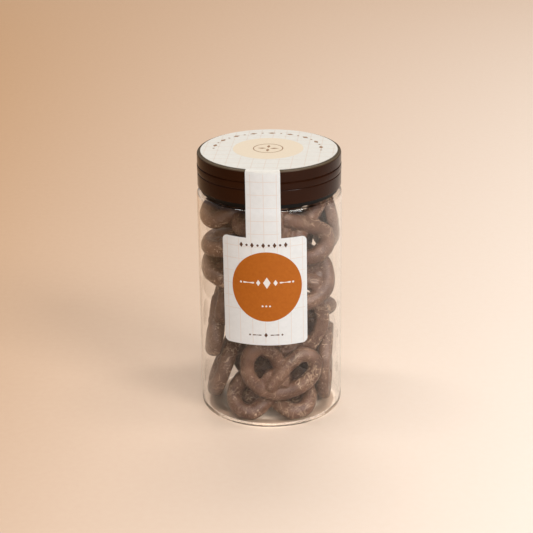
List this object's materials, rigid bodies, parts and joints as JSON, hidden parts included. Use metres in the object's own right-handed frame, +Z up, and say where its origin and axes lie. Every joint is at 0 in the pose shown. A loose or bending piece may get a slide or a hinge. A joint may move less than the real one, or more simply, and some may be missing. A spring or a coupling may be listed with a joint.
{
  "type": "jar of chocolate covered pretzels",
  "caption": "Sealed clear screw-top jar with a brown lid and a paper seal label over it, filled with chocolate coated pretzels that lean and lie on one another.",
  "frame": {"origin": "centre of the jar's footprint, on the ground it stands on", "axes": "+Z up through the lid, -Y out of the label at the front, +X to the right as seen from the front"},
  "size_m": [0.0758, 0.0761, 0.1426],
  "materials": {
    "clear_plastic": "clear, thin, polished",
    "brown_plastic": "dark brown, semi-gloss",
    "label_paper": "satin white label with a fine pale grid and simple colour fields",
    "chocolate": "set chocolate coating with rubbed and dusty marks"
  },
  "bodies": {
    "root": {"jar": "clear_plastic", "lid": "brown_plastic", "seal_label": "label_paper", "pretzel_front_low": "chocolate", "pretzel_front": "chocolate", "pretzel_left_foot": "chocolate", "pretzel_left": "chocolate", "pretzel_right_foot": "chocolate", "pretzel_right": "chocolate", "pretzel_right_mid": "chocolate", "pretzel_left_flat": "chocolate", "pretzel_left_upper": "chocolate", "pretzel_left_top": "chocolate", "pretzel_right_top": "chocolate", "pretzel_right_high": "chocolate", "pretzel_right_low": "chocolate", "pretzel_back_foot": "chocolate", "pretzel_back": "chocolate", "pretzel_back_upper": "chocolate", "pretzel_core_low": "chocolate", "pretzel_core": "chocolate", "pretzel_back_top": "chocolate", "pretzel_core_high": "chocolate"}
  },
  "joints": []
}
